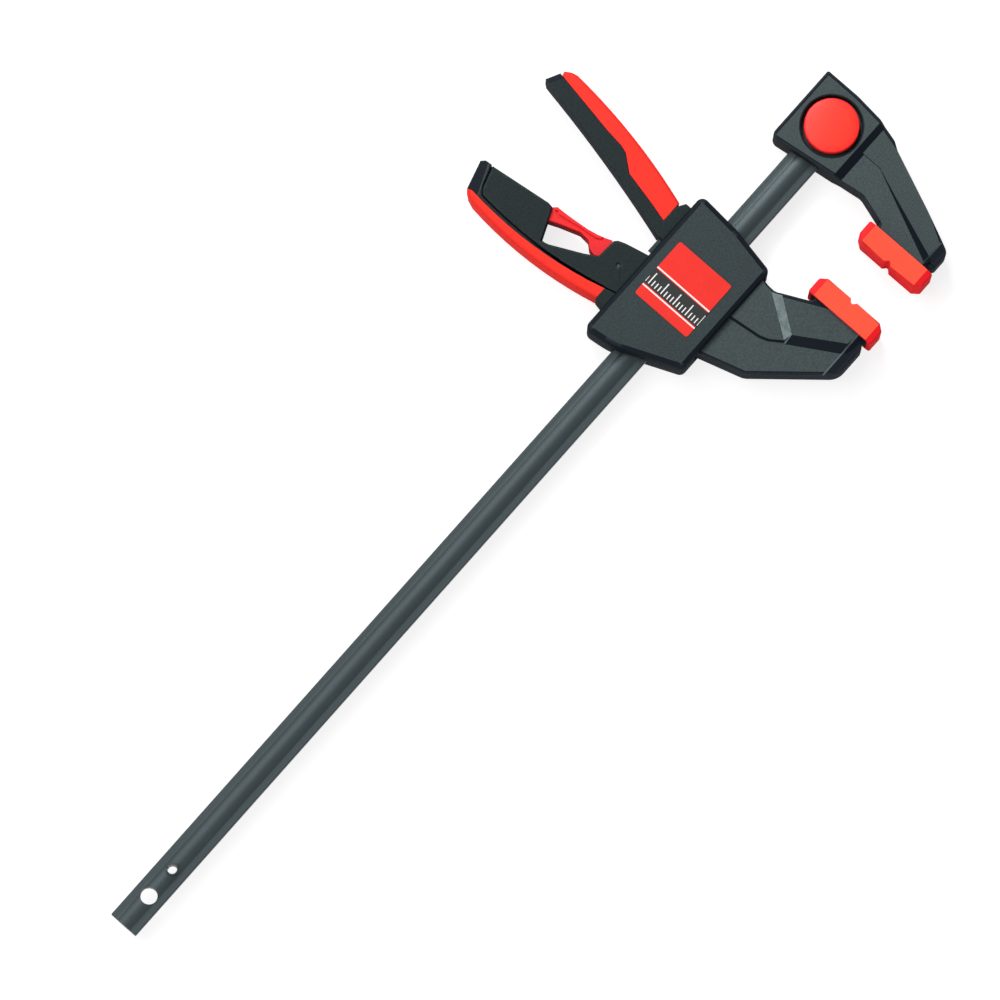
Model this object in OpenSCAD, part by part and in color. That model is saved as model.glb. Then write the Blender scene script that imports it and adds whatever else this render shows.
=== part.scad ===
// Quick release bar clamp, laid on its back.
// X runs along the rail towards the fixed jaw, +Y towards the handles, +Z out of the front.
// The origin is the centre of the hanging hole, at half the rail's thickness.

/* [Opening] */
// Widest distance between the two clamping faces
max_opening = 450; // [150:50:900]
// Distance between the two clamping faces as drawn
opening = 31; // [10:1:100]
// Rail centreline to the middle of the pads
reach = 82.5; // [78:0.5:100]

/* [Rail] */
// Width of the rail
rail_w = 20; // [18:0.5:21]
// Thickness of the rail across its raised rib
rail_t = 9.4; // [8.4:0.2:9.8]
// Thickness of the rail along its two edges
flange_t = 6; // [5:0.5:7]
// Width of the raised rib
rib_w = 11.4; // [10:0.2:13]
// Radius of the rail's edges and corners
rail_edge_r = 0.8; // [0.4:0.1:1.2]
// Radius of the hanging hole
hang_hole_r = 5.3; // [4:0.1:6.5]
// Hanging hole to the end of the rail
hang_hole_end = 23.7; // [14:0.1:30]
// Hanging hole to the stop pin
stop_pin_gap = 21.6; // [14:0.1:30]
// Radius of the rolled stop pin
stop_pin_r = 3.9; // [3:0.1:4.5]
// Wall of the rolled stop pin
stop_pin_wall = 0.9; // [0.6:0.1:1.2]
// How far the stop pin stands out of the rail on each side
stop_pin_proud = 3.2; // [2:0.1:4]

/* [Pads] */
// Thickness of a pad from its clamping face to its back
pad_t = 13.7; // [12:0.1:16]
// Height of a pad across the reach
pad_h = 51; // [44:0.5:56]
// Width of a pad across the clamp's thickness
pad_w = 32; // [30:0.5:36]
// Depth of the notch that holds round work
pad_notch = 2.2; // [1:0.1:4]
// Length of the bevel at each end of a pad
pad_bevel = 4.5; // [2:0.1:6]
// Wall of a pad around the plate it is pushed onto
pad_wall = 3.4; // [2.6:0.1:4.5]
// Depth of the pocket in a pad's back
pad_pocket = 5; // [3.5:0.1:7]

/* [Jaws] */
// Thickness of the moving jaw along its back edge
arm_t = 20; // [18:0.5:22]
// Thickness of the moving jaw below the housing
arm_mid_t = 23.6; // [22.5:0.1:24]
// Thickness of the moving jaw behind its pad
arm_top_t = 26.4; // [25:0.1:28]
// Thickness of the fixed jaw along its outer edge
fixed_arm_t = 19; // [18:0.5:20]
// Thickness of the fixed jaw's inner side next to the head
fixed_root_t = 17.4; // [16:0.2:18]
// Thickness of the fixed jaw behind its pad
fixed_top_t = 26.4; // [25:0.1:28]
// Length of the slopes that blend one thickness into the next
slope = 4.5; // [2:0.1:6]

/* [Head] */
// Thickness of the block that holds the rail
head_t = 25; // [24:0.5:30]
// Rail centreline to the top of the head
head_top = 24.7; // [22:0.1:30]
// Fixed clamping face to the middle of the release button
button_x = 42.7; // [40:0.1:45]
// Radius of the release button
button_r = 17.2; // [14:0.1:18]
// Gap around the release button
button_gap = 1.8; // [0.8:0.1:2]
// How far the release button stands out of the head
button_proud = 4; // [3.6:0.1:5]
// How far the release button can be pressed
button_travel = 3.2; // [2.5:0.1:3.4]
// Radius of the lock pin's collar
lock_r = 4; // [3.5:0.1:4.5]

/* [Housing] */
// Width of the housing along its top edge
house_top = 111; // [111:0.5:118]
// Moving clamping face to the housing's front corner
house_front = 11.9; // [10:0.1:13]
// Height of the housing across the rail
house_h = 63; // [62:0.5:68]
// Wall of the two covers
cover_wall = 2.4; // [2:0.1:2.8]
// Width of the bevel around each cover's face
cover_bevel = 3.4; // [2:0.1:4]
// Side of the square label plate
label_w = 42.5; // [30:0.5:44]
// Thickness of the label plate
label_t = 0.5; // [0.3:0.1:0.8]

/* [Handles] */
// Rail centreline to the tip of the fixed grip
grip_top = 148.7; // [140:0.5:160]
// Thickness of the fixed grip
grip_t = 25; // [23:0.5:25.5]
// Thickness of each of the grip's two cheeks
cheek_t = 3.6; // [3:0.1:4]
// Rail centreline to the tip of the pump lever
lever_top = 152.4; // [145:0.5:165]
// Thickness of the pump lever's handle
lever_t = 23; // [21:0.5:23.5]
// How far the pump lever swings, in degrees
lever_swing = 10; // [6:0.5:10]
// How far the release trigger swings, in degrees
trigger_swing = 8; // [5:0.5:8]

/* [Mechanism] */
// Thickness of the drive plate
drive_t = 3.5; // [3:0.1:4]
// Thickness of the brake plate
brake_t = 3; // [2.5:0.1:3.5]
// Radius of the lever's pivot pin
pivot_r = 2.5; // [2:0.1:3]
// Radius of the trigger's pin
trigger_pin_r = 1.3; // [1:0.1:1.6]
// Radius of the wire of the two rail springs
wire_r = 0.8; // [0.6:0.05:0.9]
// Radius of a cover screw's shank
screw_r = 1.4; // [1.2:0.1:1.6]

/* [Fits] */
// Clearance between parts that slide past each other
slide_gap = 0.3; // [0.2:0.05:0.4]
// Radial clearance of a pin that something turns on
pin_gap = 0.05; // [0.02:0.01:0.08]

/* [Hidden] */
$fn = 96;
eps = 0.01;
far = 200;

plastic_black = [0.10, 0.115, 0.11];
plastic_red = [0.86, 0.12, 0.07];
steel_dark = [0.22, 0.24, 0.25];
steel_plain = [0.62, 0.63, 0.64];

// ---------------------------------------------------------------- outlines

function unit(v) = v / norm(v);

// Arc of radius r that rounds the corner p between its neighbours a and b.
function corner(a, p, b, r, n = 6) =
    let (
        u = unit(a - p),
        v = unit(b - p),
        half = acos(u * v) / 2,
        c = p + unit(u + v) * r / sin(half),
        s = p + u * r / tan(half) - c,
        e = p + v * r / tan(half) - c,
        start = atan2(s.y, s.x),
        turn = (atan2(e.y, e.x) - start + 540) % 360 - 180
    )
    [for (i = [0:n]) c + r * [cos(start + turn * i / n), sin(start + turn * i / n)]];

// Closed outline whose corner i is rounded by radii[i]; 0 keeps it sharp.
function rounded(points, radii) =
    let (n = len(points))
    [for (i = [0:n - 1])
        each radii[i] == 0
            ? [points[i]]
            : corner(points[(i + n - 1) % n], points[i], points[(i + 1) % n], radii[i])];

// Circular arc from a to b that bows to its left by sag; it leaves out both ends.
function bow(a, b, sag, n = 10) =
    let (
        half = norm(b - a) / 2,
        side = unit([a.y - b.y, b.x - a.x]) * sign(sag),
        s = abs(sag),
        r = (half * half + s * s) / (2 * s),
        c = (a + b) / 2 + side * (s - r),
        sweep = asin(half / r),
        along = unit(b - a)
    )
    [for (i = [1:n - 1])
        let (t = sweep * (2 * i / n - 1))
        c + along * r * sin(t) + side * r * cos(t)];

// The point p turned about a centre, anticlockwise by a degrees.
function turned(p, centre, a) =
    centre + [[cos(a), -sin(a)], [sin(a), cos(a)]] * (p - centre);

// Convex outline, anticlockwise, moved inwards by d with its corners kept.
function inset(points, d) =
    let (n = len(points))
    [for (i = [0:n - 1])
        let (
            u = unit(points[i] - points[(i + n - 1) % n]),
            v = unit(points[(i + 1) % n] - points[i]),
            nu = [-u.y, u.x],
            nv = [-v.y, v.x]
        )
        points[i] + (nu + nv) * d / (1 + nu * nv)];

module slab(points, low, high) {
    translate([0, 0, low]) linear_extrude(height = high - low) polygon(points);
}

module both_sides(points, t) {
    slab(points, -t / 2, t / 2);
}

module bar(low, high) {
    translate(low) cube(high - low);
}

// Round bar along Z.
module pin(centre, r, low, high) {
    translate([centre.x, centre.y, low]) cylinder(r = r, h = high - low);
}

// Closed coil of round wire along Z, from z = 0 up to length.
module coil(mean_r, wire, length, turns) {
    sides = 6;
    per_turn = 20;
    steps = turns * per_turn;
    rise = (length - 2 * wire) / steps;
    points = [
        for (i = [0:steps]) for (k = [0:sides - 1])
            let (a = 360 * i / per_turn, b = 360 * k / sides, r = mean_r + wire * cos(b))
            [r * cos(a), r * sin(a), wire + rise * i + wire * sin(b)]
    ];
    walls = [
        for (i = [0:steps - 1]) for (k = [0:sides - 1])
            let (j = (k + 1) % sides, p = i * sides, q = p + sides)
            each [[p + k, q + k, q + j], [p + k, q + j, p + j]]
    ];
    first = [for (k = [0:sides - 1]) k];
    last = [for (k = [sides - 1:-1:0]) steps * sides + k];
    polyhedron(points, concat(walls, [first, last]), convexity = 10);
}

// ---------------------------------------------------------------- rail sizes

rail_half = rail_w / 2;
flange_half = flange_t / 2;
rib_rise = (rail_t - flange_t) / 2;
rib_r = (rib_w * rib_w / 4 + rib_rise * rib_rise) / (2 * rib_rise);
tunnel = [rail_half + slide_gap, rail_t / 2 + slide_gap];

// ---------------------------------------------------------------- housing sizes, from the moving face

half_h = house_h / 2;
house_back = -house_front - house_top;
bend_back = [house_back + 2.6, 11];
bend_front = [-house_front - 2.4, 0];
house_corners = [
    [house_back, half_h],
    bend_back,
    [bend_back.x + 18.4, -half_h],
    [bend_front.x - 5.9, -half_h],
    bend_front,
    [-house_front, half_h]
];
bend_r = 60;
corner_r = 4.5;
house_radii = [corner_r, bend_r, corner_r, corner_r, bend_r, corner_r];

function house_outline(d) =
    rounded(inset(house_corners, d), [for (r = house_radii) max(r - d, 0.8)]);

// Where the housing's back edge stands at the height y, below the upper bend.
function back_edge(y) =
    bend_back.x + (bend_back.y - y) * 18.4 / (bend_back.y + half_h);

spring_mean_r = norm([rail_half, flange_half]) + slide_gap + wire_r;
core_half = spring_mean_r + wire_r + 2 * slide_gap;
cover_inside = core_half + slide_gap;
cover_half = cover_inside + cover_wall;

// ---------------------------------------------------------------- places along the rail

rail_back = -hang_hole_end;
stop_x = stop_pin_gap;
face_x = stop_x + stop_pin_r + max_opening - back_edge(stop_pin_r) + slide_gap;
moving_x = face_x - opening;
rail_seat = 59.7;

module at_head() {
    translate([face_x, 0, 0]) children();
}

module at_carriage() {
    translate([moving_x, 0, 0]) children();
}

// ---------------------------------------------------------------- rail

module rail_profile(length) {
    r = rail_edge_r;
    edge = [
        [-rail_half, -flange_half], [rail_half, -flange_half],
        [rail_half, flange_half], [-rail_half, flange_half]
    ];
    rotate([90, 0, 90]) {
        linear_extrude(height = length) polygon(rounded(edge, [r, r, r, r]));
        for (side = [-1, 1])
            intersection() {
                translate([0, side * (rail_t / 2 - rib_r), 0]) cylinder(r = rib_r, h = length);
                bar([-rib_w / 2, min(0, side * rail_t), 0], [rib_w / 2, max(0, side * rail_t), length]);
            }
    }
}

// Rail end in the head: a keyhole that the lock pin's collar fills, with a way out for its neck.
lock_collar_half = 1.2;
lock_neck_r = 2.1;
lock_web_low = -1.7;

module rail() {
    head_end = face_x + rail_seat;
    lock_x = face_x + button_x;
    way_out = 2 * (lock_neck_r + pin_gap);
    pocket_r = lock_r + slide_gap;
    color(steel_dark)
    difference() {
        translate([rail_back, 0, 0]) rail_profile(head_end - rail_back);
        pin([0, 0], hang_hole_r, -rail_t, rail_t);
        pin([stop_x, 0], stop_pin_r, -rail_t, rail_t);
        pin([lock_x, 0], lock_r + pin_gap, -rail_t, rail_t);
        bar([lock_x, -way_out / 2, -rail_t], [head_end + 1, way_out / 2, rail_t]);
        pin([lock_x, 0], pocket_r, -rail_t, lock_web_low);
        bar([lock_x, -pocket_r, -rail_t], [head_end + 1, pocket_r, lock_web_low]);
    }
}

module stop_pin() {
    length = rail_t / 2 + stop_pin_proud;
    slot = 1.2;
    color(steel_plain)
    translate([stop_x, 0, 0])
    difference() {
        pin([0, 0], stop_pin_r, -length, length);
        pin([0, 0], stop_pin_r - stop_pin_wall, -length - 1, length + 1);
        rotate([0, 0, 125]) bar([0, -slot / 2, -length - 1], [2 * stop_pin_r, slot / 2, length + 1]);
    }
}

// ---------------------------------------------------------------- pads

pad_low = -reach - pad_h / 2;
pad_high = -reach + pad_h / 2;
plate_half_h = pad_h / 2 - pad_wall;
plate_half_w = pad_w / 2 - pad_wall;
plate_t = pad_pocket - slide_gap;
plate_front = pad_t - pad_pocket + slide_gap;

// A pad whose clamping face is the plane x = 0 and whose back faces +X.
module pad() {
    notch_half = 2.6;
    bevel_x = 3.2;
    outline = [
        [0, pad_low + pad_bevel], [0, -reach - notch_half], [pad_notch, -reach - 0.6],
        [pad_notch, -reach + 0.6], [0, -reach + notch_half], [0, pad_high - pad_bevel],
        [bevel_x, pad_high], [pad_t, pad_high], [pad_t, pad_low], [bevel_x, pad_low]
    ];
    difference() {
        both_sides(rounded(outline, [1.5, 0.8, 0.5, 0.5, 0.8, 1.5, 2, 1.2, 1.2, 2]), pad_w);
        bar(
            [pad_t - pad_pocket, -reach - plate_half_h - slide_gap, -plate_half_w - slide_gap],
            [pad_t + 1, -reach + plate_half_h + slide_gap, plate_half_w + slide_gap]
        );
    }
}

// The plate at the end of a jaw that a pad is pushed onto.
module pad_plate() {
    bar(
        [plate_front, -reach - plate_half_h, -plate_half_w],
        [pad_t, -reach + plate_half_h, plate_half_w]
    );
}

module fixed_pad() {
    color(plastic_red) at_head() pad();
}

module moving_pad() {
    color(plastic_red) at_carriage() mirror([1, 0, 0]) pad();
}

// ---------------------------------------------------------------- fixed jaw, from the fixed face

head_corners = [
    [13.2, head_top],
    [22.7, -42.5],
    [16.8, pad_high - 5.5],
    [pad_t - 0.2, pad_high - 6.5],
    [pad_t - 0.2, pad_low + 4.5],
    [18.5, pad_low + 1.8],
    [30.5, pad_low + 1.8],
    [62.3, -34.5],
    [66, -20],
    [67.8, 0],
    [67.8, head_top]
];
head_radii = [4, 9, 3, 0, 2, 3, 6, 10, 25, 60, 1.5];
button_floor = rail_t / 2 + 1.7;
guide_low = -rail_t / 2 - 1.9;
clip_recess_r = 7.5;

// The fixed jaw's inner side rises from the head to the pad. It is level with the outer side at
// level_at, and from there a slope divides the two.
head_foot = -21;
root_y = head_foot - slope - 1;
level_at = [43.2, -38];
slope_foot = [20.6, pad_low + 6.8];
inner_side = [
    [pad_t, root_y], [level_at.x, root_y], level_at, slope_foot, [pad_t, slope_foot.y]
];
inner_top = [[pad_t, -54], [21.7, -54], [15.2, pad_low + 8.2], [pad_t, pad_low + 8.2]];
outer_side = [
    [level_at.x, head_foot], level_at - [0, 2], slope_foot - [2, 0],
    [slope_foot.x - 2, pad_low], [far, pad_low], [far, head_foot]
];

// Everything between the two planes that the inner side lies in, seen from the rail's end.
module inner_rise() {
    low = fixed_root_t / 2;
    high = fixed_top_t / 2;
    pad_end = pad_low + 4.5;
    side_view = [
        [root_y, low], [pad_end, high], [pad_low, high],
        [pad_low, -high], [pad_end, -high], [root_y, -low]
    ];
    rotate([90, 0, 90]) linear_extrude(height = far) polygon(side_view);
}

module fixed_jaw() {
    outline = rounded(head_corners, head_radii);
    bore = [button_x, 0];
    color(plastic_black)
    at_head()
    difference() {
        union() {
            both_sides(outline, fixed_root_t);
            pad_plate();
            intersection() {
                both_sides(outline, fixed_top_t);
                union() {
                    hull() {
                        bar([0, head_foot, -head_t / 2], [far, head_top + 1, head_t / 2]);
                        bar(
                            [0, root_y, -fixed_root_t / 2],
                            [far, head_top + 1, fixed_root_t / 2]
                        );
                    }
                    both_sides(outer_side, fixed_arm_t);
                    intersection() {
                        inner_rise();
                        hull() {
                            both_sides(inner_top, fixed_top_t);
                            both_sides(inner_side, fixed_arm_t);
                        }
                    }
                }
            }
        }
        bar(
            [-eps, -rail_half - pin_gap, -rail_t / 2 - pin_gap],
            [rail_seat, rail_half + pin_gap, rail_t / 2 + pin_gap]
        );
        pin(bore, button_r + button_gap, button_floor, head_t);
        pin(bore, lock_neck_r + pin_gap, -head_t, head_t);
        pin(bore, clip_recess_r, -head_t, guide_low);
    }
}

// ---------------------------------------------------------------- release button, from the fixed face

cap_top = head_t / 2 + button_proud;
cap_low = button_floor + button_travel + slide_gap;
cap_wall = 2.2;
cap_ceiling = cap_top - 2.6;
clip_t = 0.9;

module release_button() {
    crown = 0.9;
    edge = 1;
    shell = [
        [button_r - cap_wall, cap_low], [button_r, cap_low], [button_r, cap_top - crown - edge],
        [button_r - 0.3 * edge, cap_top - crown - 0.3 * edge], [button_r - edge, cap_top - crown],
        [button_r * 0.66, cap_top - 0.36 * crown], [button_r * 0.33, cap_top - 0.09 * crown],
        [0, cap_top], [0, cap_ceiling], [button_r - cap_wall, cap_ceiling]
    ];
    color(plastic_red)
    at_head() translate([button_x, 0, 0]) rotate_extrude() polygon(shell);
}

module lock_pin() {
    tail = guide_low - slide_gap - clip_t - 1.2;
    at = [button_x, 0];
    color(steel_plain)
    at_head()
    difference() {
        union() {
            pin(at, lock_neck_r, tail, cap_ceiling);
            pin(at, lock_r, -lock_collar_half, lock_collar_half);
        }
        translate([at.x, at.y, guide_low - slide_gap - clip_t])
        difference() {
            cylinder(r = lock_neck_r + 1, h = clip_t);
            cylinder(r = lock_neck_r - 0.5, h = clip_t);
        }
    }
}

// Open clip snapped into the groove at the lock pin's tail.
module lock_clip() {
    mouth = 2 * (lock_neck_r - 0.6);
    color(steel_plain)
    at_head() translate([button_x, 0, guide_low - slide_gap - clip_t])
    difference() {
        cylinder(r = lock_neck_r + 2.4, h = clip_t);
        translate([0, 0, -1]) cylinder(r = lock_neck_r - 0.5, h = clip_t + 2);
        bar([0, -mouth / 2, -1], [far, mouth / 2, clip_t + 1]);
    }
}

module button_spring() {
    color(steel_plain)
    at_head() translate([button_x, 0, button_floor])
    coil(7.5, 0.6, cap_ceiling - button_floor, 4);
}

// ---------------------------------------------------------------- carriage places, from the moving face

pivot = [-34, -17.5];
trigger_pivot = [-79, 41.5];
screw_places = [[-111, 21], [-66, 24.5], [-95.5, -23.8], [-50, -23.4]];
boss_r = 3.4;
boss_gap = 0.2;
nose_rise = 30.5;
nose_x = pivot.x - 5.5;
drive_front = nose_x - 0.1;
drive_back = drive_front - drive_t;
spring_wall_t = 5;
spring_wall = -80;
brake_foot = [-88, -15];
brake_top = 18;
brake_tilt = 6;
brake_wall = -104;
fork_half = rail_t / 2 + 0.9;
fork_t = 3.8;
fork_room = fork_half + fork_t + slide_gap;
drive_top = 16.5;
drive_low = -14.5;
plate_half = 9.5;
tang_back = -104;
tang_front = -95.6;
tang_foot = 17.5;
tang_half = 8;
cheek_half = grip_t / 2 - cheek_t;
lever_foot = [-48.6, 36.7];
lever_reach = turned(lever_foot, pivot, lever_swing).x - 0.7;
trigger_toe = [-85, 14.4];
trigger_waist = [-78, 34];
trigger_reach = turned(trigger_waist, trigger_pivot, trigger_swing).x + 0.5;
toe_reach = turned(trigger_toe, trigger_pivot, trigger_swing).x + 2.8;

// ---------------------------------------------------------------- moving jaw

arm_root = -half_h + 6;
arm_knee = pad_high - 4.5;
arm_foot = pad_low + 2.3;
arm_corners = [
    [-89.6, arm_root],
    [-78.5, arm_knee],
    [-40.5, arm_foot],
    [-19.5, arm_foot],
    [-pad_t + 0.2, arm_foot + 4.2],
    [-pad_t + 0.2, pad_high - 6.5],
    [-17.2, pad_high - 5],
    [-27.2, -42],
    [-27, -36],
    [-25.2, arm_root]
];
arm_radii = [0, 12, 12, 3, 2, 0, 3, 8, 8, 0];

module moving_jaw() {
    outline = rounded(arm_corners, arm_radii);
    mid = [
        [-57.5, arm_root], [-53.9, -53], [-52, -58.3], [-46.2, -66.4], [-40, -68], [-22, -46],
        [-25, arm_root]
    ];
    top = [
        [-24.6, -44.4], [-41, -67.4], [-22.6, pad_low + 11.5], [-pad_t, pad_low + 9.5],
        [-pad_t, pad_high - 6], [-17, pad_high - 4]
    ];
    grow = slope * [[-1, 0.6], [-1.5, -0.1], [-1.2, -0.8], [0, -1], [0, 0], [0, 1]];
    ramp_foot = [[-28.9, -40.4], [-46.3, -65.7]];
    ramp_back = [-24, -60];
    core = house_outline(cover_wall + slide_gap);
    lever_room = [
        [lever_reach, 18], [lever_reach, far], [-21.5, far], [-21.5, 25], [-23.5, -12],
        [-38.5, -12], [-38.5, -15.5], [spring_wall + spring_wall_t, -15.5],
        [spring_wall + spring_wall_t, 18]
    ];
    trigger_room = [
        [-94.8, 18], [-93.5, far], [trigger_reach, far], [trigger_reach, 30], [toe_reach, 19],
        [spring_wall, 17], [spring_wall, -17], [brake_wall, -17], [brake_wall, 15], [-95, 15]
    ];
    color(plastic_black)
    at_carriage()
    difference() {
        union() {
            both_sides(outline, arm_t);
            intersection() {
                both_sides(outline, arm_top_t);
                union() {
                    hull() {
                        both_sides(mid, arm_mid_t);
                        both_sides([for (p = mid) p + [p.x < -40 ? -1.6 : 0, 0]], arm_t);
                    }
                    hull() {
                        both_sides(top, arm_top_t);
                        both_sides([for (i = [0:5]) top[i] + grow[i]], arm_t);
                    }
                    hull() {
                        both_sides([top[0], top[1], ramp_back], arm_top_t);
                        both_sides([ramp_foot[0], ramp_foot[1], top[1], top[0]], arm_mid_t);
                    }
                }
            }
            mirror([1, 0, 0]) pad_plate();
            both_sides(core, 2 * core_half);
        }
        both_sides(lever_room, far);
        both_sides(trigger_room, far);
        bar([pivot.x - 7.5, pivot.y - 6.4, -fork_room], [pivot.x + 7.5, -11, fork_room]);
        bar([-far, -tunnel.x, -tunnel.y], [0, tunnel.x, tunnel.y]);
        pin(pivot, pivot_r, -far, far);
        bar([tang_back, tang_foot, -tang_half], [tang_front, far, tang_half]);
        for (at = screw_places) pin(at, boss_r + boss_gap, -far, far);
    }
}

// ---------------------------------------------------------------- covers

arm_slot = [[-90.4, -half_h - 1], [-24.4, -half_h + 10]];
grip_slot = [[-106.2, half_h - 10], [-60.2, half_h + 5]];
lever_slot = [[lever_reach - 1.8, half_h - 10], [-20.8, half_h + 5]];
lip_rise = 2.3;

// The front cover, on the positive side of the parting plane z = 0.
module cover_shell() {
    rim = cover_half - cover_bevel * 0.9;
    hull() {
        slab(house_outline(0), 0, rim);
        slab(house_outline(cover_bevel * 0.3), rim, cover_half - cover_bevel * 0.3);
        slab(house_outline(cover_bevel), rim, cover_half);
    }
    bar(
        [lever_slot[0].x, half_h - 3, lever_t / 2 + 2 * slide_gap],
        [lever_slot[0].x + 10, half_h + lip_rise, cover_half - cover_bevel]
    );
}

// Way through a cover's edge for something of half thickness high.
module slot(corners, high) {
    bar([corners[0].x, corners[0].y, -1], [corners[1].x, corners[1].y, high]);
}

module cover(boss_bore) {
    difference() {
        union() {
            difference() {
                cover_shell();
                slab(house_outline(cover_wall), -1, cover_inside);
                bar([-far, -tunnel.x, -1], [0, tunnel.x, tunnel.y]);
                slot(arm_slot, arm_mid_t / 2 + slide_gap);
                slot(grip_slot, grip_t / 2 + slide_gap);
                slot(lever_slot, lever_t / 2 + 2 * slide_gap);
            }
            for (at = screw_places) pin(at, boss_r, 0, cover_inside + eps);
        }
        for (at = screw_places) pin(at, boss_bore, -1, cover_inside);
    }
}

module front_cover() {
    color(plastic_black) at_carriage() cover(screw_r);
}

screw_head_r = 2.8;
screw_head_t = 1.8;

module rear_cover() {
    color(plastic_black)
    at_carriage() mirror([0, 0, 1])
    difference() {
        cover(screw_r + 2 * pin_gap);
        for (at = screw_places) {
            pin(at, screw_r + 2 * pin_gap, -1, far);
            pin(at, screw_head_r + slide_gap, cover_half - screw_head_t - 0.4, far);
        }
    }
}

module cover_screws() {
    seat = -cover_half + screw_head_t + 0.4;
    cross = 0.8;
    color(steel_plain)
    at_carriage()
    for (at = screw_places)
        difference() {
            union() {
                pin(at, screw_head_r, seat - screw_head_t, seat);
                pin(at, screw_r, seat, cover_inside - 2);
            }
            for (turn = [0, 90])
                translate([at.x, at.y, seat - screw_head_t - 1]) rotate([0, 0, turn])
                bar([-1.8, -cross / 2, 0], [1.8, cross / 2, 2]);
        }
}

module label_plate() {
    middle = [-64.3, 1.2];
    r = 1.5;
    square_corners = [for (s = [[-1, -1], [1, -1], [1, 1], [-1, 1]]) middle + s * label_w / 2];
    color(plastic_red)
    at_carriage() slab(rounded(square_corners, [r, r, r, r]), cover_half, cover_half + label_t);
}

// ---------------------------------------------------------------- fixed grip

strip_foot = [-95.5, 38.5];
strip_head = [-103.6, grip_top - 9];
grip_shoulder = [-104.5, grip_top - 5.2];
outer_foot = [-103.6, 38.5];
outer_head = [-109.2, grip_top - 14];
groove_foot = [-92, half_h - 2];
groove_head = [-101.4, grip_top - 15.5];
groove_w = 0.9;
inner_edge = [[-78.5, 96.2], [-78, 99.7], [-78.8, 105.7], [-83.4, grip_top - 8]];
strip_sag = 4.9;

strip_line = bow(strip_foot, strip_head, strip_sag);
groove_line = bow(groove_foot, groove_head, strip_sag);

module grip_strip() {
    outline = concat(
        [strip_foot], strip_line,
        [strip_head, grip_shoulder, outer_head + [1.9, 5.2], outer_head],
        bow(outer_head, outer_foot, -4.4), [outer_foot]
    );
    color(plastic_red) at_carriage() both_sides(outline, grip_t);
}

module grip_frame() {
    behind = [-groove_w, 0];
    rim = concat(
        [
            groove_foot + behind, outer_foot - [1.2, outer_foot.y - groove_foot.y],
            outer_foot - [1.2, 6], outer_foot, strip_foot
        ],
        strip_line,
        [
            strip_head, grip_shoulder, [-86, grip_top], [-83.7, grip_top - 2.5],
            inner_edge[3] + [0, 0.9], groove_head + [3.6, 3.9], groove_head + behind
        ],
        [for (i = [len(groove_line) - 1:-1:0]) groove_line[i] + behind]
    );
    web = concat(
        [[-95.2, half_h - 2.5], [-104.2, half_h - 2.5], strip_foot], strip_line,
        [strip_head, [-104, grip_top - 6], [-84.5, grip_top - 3]],
        [[-79.6, 106], [-79.2, 99], [-90, 99]],
        [[-98.2, 90], [-97.6, 80], [-94.2, 65], [-91.5, 50], [-90.3, half_h + 1]]
    );
    color(plastic_black)
    at_carriage()
    union() {
        both_sides(rim, grip_t);
        both_sides(web, 2 * cheek_half);
        bar([tang_back, tang_foot, -tang_half], [tang_front, half_h, tang_half]);
    }
}

module cheek(low, high) {
    outline = concat(
        [groove_foot], groove_line, [groove_head, [-98.2, grip_top - 12.6], [-83.6, grip_top - 8.1]],
        [inner_edge[2], inner_edge[1], inner_edge[0]],
        [
            [-99, 87.6], [-97.5, 82.5], [-87.5, 62.5], [-84.5, 57.5], [-82.3, 54.6],
            [-69.3, 53.7], [-67.3, 51.7], [-65.8, 47.7], [-61.6, half_h - 2]
        ]
    );
    at_carriage()
    difference() {
        slab(outline, low, high);
        pin(trigger_pivot, trigger_pin_r, -far, far);
    }
}

module grip_cheek_front() {
    color(plastic_black) cheek(cheek_half, grip_t / 2);
}

module grip_cheek_rear() {
    color(plastic_black) cheek(-grip_t / 2, -cheek_half);
}

// How deep the trigger's pin is sunk below each cheek.
pin_sunk = cheek_t / 2;

module trigger_pin() {
    color(steel_plain)
    at_carriage() pin(trigger_pivot, trigger_pin_r, -grip_t / 2 + pin_sunk, grip_t / 2 - pin_sunk);
}

// ---------------------------------------------------------------- release trigger

trigger_half = cheek_half - slide_gap;

module release_trigger() {
    blade = [
        [-86, 93], [-83, 86], [-78.5, 73], [-79, 66], [-82.5, 62], [-83.8, 57.5], [-82, 53.6],
        [-84.5, 42], [-84, 37.5], [-88.6, 20], [-89.2, 17], [-88.8, 14.4], trigger_toe,
        trigger_waist, [-74.5, 38.5], [-73.5, 45], [-71.5, 53.2], [-69.2, 54.8], [-70.5, 58],
        [-72.5, 64], [-74, 71], [-75, 80], [-75.7, 88], [-75.9, 94], [-78.2, 96.4]
    ];
    groove = [
        [-78.4, 93.5], [-80.2, 90.4], [-79.2, 83.2], [-77.6, 75], [-77.1, 68.6], [-76.2, 62.4],
        [-73.8, 58.8], [-70.6, 59], [-70.6, 60.4], [-73, 60.3], [-74.8, 63.2], [-75.7, 68.9],
        [-76.2, 75.1], [-77.8, 83.4], [-78.9, 90.2], [-77.5, 92.3]
    ];
    groove_depth = 1.2;
    color(plastic_red)
    at_carriage()
    difference() {
        both_sides(blade, 2 * trigger_half);
        pin(trigger_pivot, trigger_pin_r + pin_gap, -far, far);
        // groove that leaves a finger rib along the outer edge, on both faces
        for (side = [-1, 1])
            translate([0, 0, side * trigger_half]) both_sides(groove, 2 * groove_depth);
    }
}

// ---------------------------------------------------------------- pump lever

lever_tip = [-22.2, lever_top - 2];
strip_low = 39.2;
// where the soft strip meets the lever, from the tip down
strip_joint = [
    [-12.4, lever_top - 6.4], [-19.8, 102.5], [-21.3, 89.5], [-22.9, 84.5], [-31.2, 74.2],
    [-36.3, 50.7], [-39.3, strip_low]
];

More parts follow.
